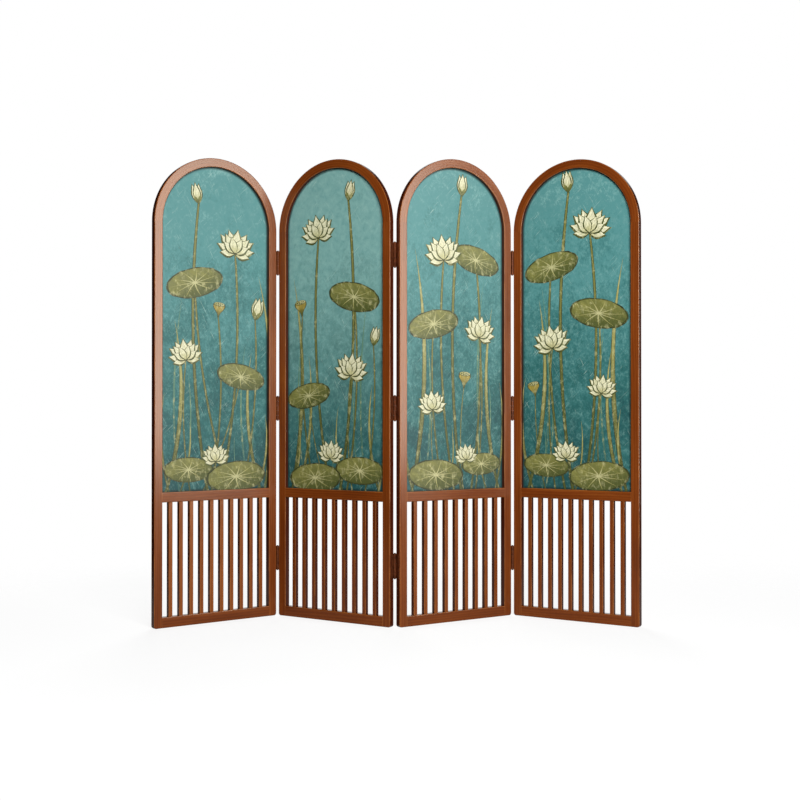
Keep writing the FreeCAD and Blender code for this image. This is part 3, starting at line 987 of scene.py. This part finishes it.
for number in range(leaf_count):
    flat_painting = paint_leaf(number)
    painting = stand_on_leaf(flat_painting, f"leaf_{number + 1}_painting", number, paint_material(number))
    bpy.data.objects.remove(flat_painting)
for master in (petal, cup, vein, stem, stem_edge, blade, blade_edge, disc, *plants.values()):
    bpy.data.objects.remove(master)


# Backing boards
# A thin stiff board fills the rebate behind each canvas. Its back is rolled with plain teal paint,
# which leaves a fine stipple.

board_paint = "#2F5F5C"
board_paint_thin = "#3D716C"
board_stops = ((0.3, board_paint), (0.7, board_paint_thin))
board_gloss = 0.3
board_seed_step = 3.0
rolled_scale = (5, 5, 2)
stipple_scale = (700, 700, 700)
stipple_swing = 0.4
board_roughness = 0.5
stipple_roughness = 0.15
stipple_strength = 0.2
stipple_depth = 0.0004
for number in range(leaf_count):
    name = f"leaf_{number + 1}_backing_board"
    material, tree, shader, place = new_material(name, board_gloss)
    rolled = cloud(tree, place, rolled_scale, board_seed_step * number, detail=4.0, rough=0.6)
    stipple = cloud(tree, place, stipple_scale, board_seed_step * number)
    tone = added(tree, rolled, swing(tree, stipple, stipple_swing))
    link_all(tree, shader, {
        "Base Color": graded(tree, tone, board_stops),
        "Roughness": scaled(tree, stipple, stipple_roughness, board_roughness),
        "Normal": bumped(tree, stipple, stipple_strength, stipple_depth),
    })
    dress(name, material)


# Retaining beads
# Four slim strips of the frame's wood, one of them bent to the arch, hold the board and the canvas
# in the rebate from behind. The grain runs along each.

bead_seed = 6
for number in range(leaf_count):
    name = f"leaf_{number + 1}_retaining_beads"
    material, tree, shader, place = new_material(name, wood_gloss)
    upright = on_leaf(tree, place, number)
    parts = parts_of(tree, upright)
    level = on_leaf(tree, place, number, (0, 0, mid_rail_height), tipped_level)
    arched = round_arch(tree, place, number)
    between_stiles = maths(tree, "LESS_THAN", maths(tree, "ABSOLUTE", parts["X"]), clear_width / 2)
    at_foot = times(tree, between_stiles, maths(tree, "LESS_THAN", parts["Z"], mid_rail_top))
    along = mixed(tree, at_foot, upright, level)
    along = mixed(tree, maths(tree, "GREATER_THAN", parts["Z"], spring_height), along, arched)
    # Sizes larger than the strips keep the rubbed edges with their painted highlight and the painted shade
    # on the frame's sides off them
    finish_wood(tree, shader, along, seeds_per_leaf * number + bead_seed, clear_width, frame_depth)
    dress(name, material)


# Brads
# Headless pins of drawn steel wire fasten the beads. They are driven through them into the frame
# and left just below the surface.

steel_dark = "#77736C"
steel_bright = "#A7A399"
steel_stops = ((0.3, steel_dark), (0.7, steel_bright))
steel_scale = (1500, 1500, 1500)
steel_gloss = 0.5
steel_roughness = (0.3, 0.3)
steel_seed_step = 2.0
for number in range(leaf_count):
    name = f"leaf_{number + 1}_brads"
    seed = steel_seed_step * number
    shader = fine_grain(name, seed, steel_scale, steel_stops, steel_gloss, steel_roughness)
    shader["Metallic"].default_value = 1.0


# Butt hinges
# Each of the three joints turns on three butt hinges of dark bronzed steel: two plates with rolled
# knuckles on one pin, fixed on the edges of the stiles with countersunk screws.

bronze_dark = "#3A190C"
bronze = "#753D1F"
bronze_rubbed = "#B5825C"
bronze_stops = ((0.3, bronze_dark), (0.65, bronze))
bronze_gloss = 0.5
bronze_metallic = 0.6
bronze_seed_step = 5.0
skin_scale = (90, 90, 60)
speck_scale = (900, 900, 500)
speck_band = (0.55, 0.75)
rubbed_skin_band = (0.4, 0.6)
rubbed_strength = 0.6
bronze_roughness = 0.28
speck_roughness = 0.25


def make_bronze():
    """Bronzed metal: a dark brown skin, cloudy, with brighter rubbed specks."""
    inputs = {"Place": "Vector", "Seed": "Float"}
    group, given, result = new_group("bronzed metal", inputs, {"Color": "Color", "Roughness": "Float"})
    clouds = cloud(group, given["Place"], skin_scale, given["Seed"], detail=4.0, rough=0.6)
    specks = cloud(group, given["Place"], speck_scale, given["Seed"], detail=3.0, rough=0.6)
    skin = graded(group, clouds, bronze_stops)
    rubbed_skin = between(group, clouds, *rubbed_skin_band)
    rubbed = times(group, between(group, specks, *speck_band), rubbed_skin)
    link_all(group, result, {
        "Color": mixed(group, rubbed, skin, colour(bronze_rubbed), rubbed_strength),
        "Roughness": scaled(group, specks, speck_roughness, bronze_roughness),
    })
    return group


bronzed_metal = make_bronze()
for joint in range(leaf_count - 1):
    for order, kind in enumerate(("left_plates", "right_plates", "pins", "left_screws", "right_screws")):
        name = f"hinges_{joint + 1}_{joint + 2}_{kind}"
        material, tree, shader, place = new_material(name, bronze_gloss)
        values = {"Place": place, "Seed": bronze_seed_step * joint + order}
        skin = node(tree, "Group", values, node_tree=bronzed_metal).outputs
        shader["Metallic"].default_value = bronze_metallic
        link_all(tree, shader, {"Base Color": skin["Color"], "Roughness": skin["Roughness"]})
        dress(name, material)


# Floor, light and camera
# A plain white floor fades into a white surround. Soft lamps stand in front, behind and at the right,
# and black cards keep glare off the lacquer. The camera stands at the photograph's place, a little
# below the middle of the screen.

floor_size = 14.0
floor_grey = (0.20, 0.20, 0.20, 1)
floor_fade = (1.2, 2.8)
floor_seen = 0.82
floor_mirrored = 0.12
white = (1, 1, 1, 1)
room_light = 0.18
card_grey = (0.01, 0.01, 0.01, 1)
screen_middle = (0.0, 0.0, 0.9)
side_lamp_colour = (1.0, 0.97, 0.92)

bpy.ops.object.select_all(action="DESELECT")
bpy.ops.mesh.primitive_plane_add(size=floor_size)
floor = bpy.context.object
floor.name = "floor"
floor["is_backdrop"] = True

floor_material = bpy.data.materials.new("white floor")
floor_material.use_nodes = True
tree = floor_material.node_tree
tree.nodes.clear()
fade = between(tree, length_of(tree, node(tree, "TexCoord").outputs["Object"]), *floor_fade)
ray = node(tree, "LightPath").outputs
matt = node(tree, "BsdfDiffuse", {"Color": floor_grey}).outputs[0]
mirrored = times(tree, ray["Is Glossy Ray"], floor_mirrored)
brightness = scaled(tree, ray["Is Camera Ray"], floor_seen, mirrored)
glow = node(tree, "Emission", {"Color": white, "Strength": brightness}).outputs[0]
surface = node(tree, "AddShader", {0: matt, 1: glow}).outputs[0]
clear = node(tree, "BsdfTransparent").outputs[0]
faded = node(tree, "MixShader", {0: fade, 1: surface, 2: clear}).outputs[0]
node(tree, "OutputMaterial", {"Surface": faded})
floor.data.materials.append(floor_material)

world = bpy.data.worlds.new("white surround")
bpy.context.scene.world = world
world.use_nodes = True
tree = world.node_tree
tree.nodes.clear()
ray = node(tree, "LightPath").outputs
seen = maths(tree, "ADD", ray["Is Camera Ray"], ray["Is Transmission Ray"], clamp=True)
seen = maths(tree, "ADD", seen, ray["Is Glossy Ray"], clamp=True)
room = node(tree, "Background", {"Color": white, "Strength": room_light}).outputs[0]
backdrop = node(tree, "Background", {"Color": white, "Strength": 1.0}).outputs[0]
surround = node(tree, "MixShader", {0: seen, 1: room, 2: backdrop}).outputs[0]
node(tree, "OutputWorld", {"Surface": surround})


def soft_lamp(name, place, aim, width, height, power):
    """A rectangular soft lamp that points at a spot."""
    data = bpy.data.lights.new(name, "AREA")
    data.shape = "RECTANGLE"
    data.size = width
    data.size_y = height
    data.energy = power
    lamp = bpy.data.objects.new(name, data)
    bpy.context.scene.collection.objects.link(lamp)
    lamp.location = place
    lamp.rotation_euler = (Vector(aim) - Vector(place)).to_track_quat("-Z", "Y").to_euler()
    return lamp


def black_card(name, place, turn, width, length):
    """A matt black card round the screen, out of sight, that keeps glare off the lacquer."""
    bpy.ops.object.select_all(action="DESELECT")
    bpy.ops.mesh.primitive_plane_add(size=1.0)
    card = bpy.context.object
    card.name = name
    card.scale = (width, length, 1.0)
    card.rotation_euler = (0.0, turn, 0.0)
    card.location = place
    card.visible_camera = False
    card.visible_shadow = False
    card.data.materials.append(card_black)
    card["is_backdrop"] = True


card_black = bpy.data.materials.new("black card")
card_black.use_nodes = True
card_shader = card_black.node_tree.nodes["Principled BSDF"].inputs
card_shader["Base Color"].default_value = card_grey
card_shader["Specular IOR Level"].default_value = 0.0
black_card("left_card", place=(-2.6, 0.5, 1.0), turn=math.pi / 2, width=8.0, length=9.0)
black_card("right_card", place=(4.4, 0.5, 1.0), turn=math.pi / 2, width=8.0, length=11.0)
black_card("top_card", place=(0.9, -0.5, 3.4), turn=0.0, width=7.0, length=7.0)

front_lamp = soft_lamp(
    "front lamp", place=(1.0, -4.2, 2.1), aim=screen_middle, width=2.0, height=1.4, power=285.0)
back_lamp = soft_lamp(
    "back lamp", place=(-0.6, 4.4, 2.4), aim=screen_middle, width=2.4, height=1.8, power=210.0)
for lamp in (front_lamp, back_lamp):
    lamp.visible_glossy = False
side_lamp = soft_lamp(
    "side lamp", place=(3.0, -2.15, 1.70), aim=(-0.5, 0.0, 1.70), width=1.6, height=2.6, power=130.0)
edge_lamp = soft_lamp(
    "edge lamp", place=(3.2, 0.0, 1.4), aim=(-0.5, 0.0, 1.4), width=1.2, height=2.4, power=90.0)
for lamp in (side_lamp, edge_lamp):
    lamp.data.color = side_lamp_colour
    lamp.visible_diffuse = False

camera_place = (0.0202, -4.4659, 0.7807)
camera_rise = 0.00729
camera_turn = 0.00255
camera_data = bpy.data.cameras.new("camera")
camera_data.sensor_width = 36.0
camera_data.lens = 54.67
camera = bpy.data.objects.new("camera", camera_data)
bpy.context.scene.collection.objects.link(camera)
camera.location = camera_place
camera.rotation_euler = (math.pi / 2 + camera_rise, 0.0, camera_turn)
bpy.context.scene.camera = camera
bpy.context.scene.view_settings.view_transform = "Standard"

low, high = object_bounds()
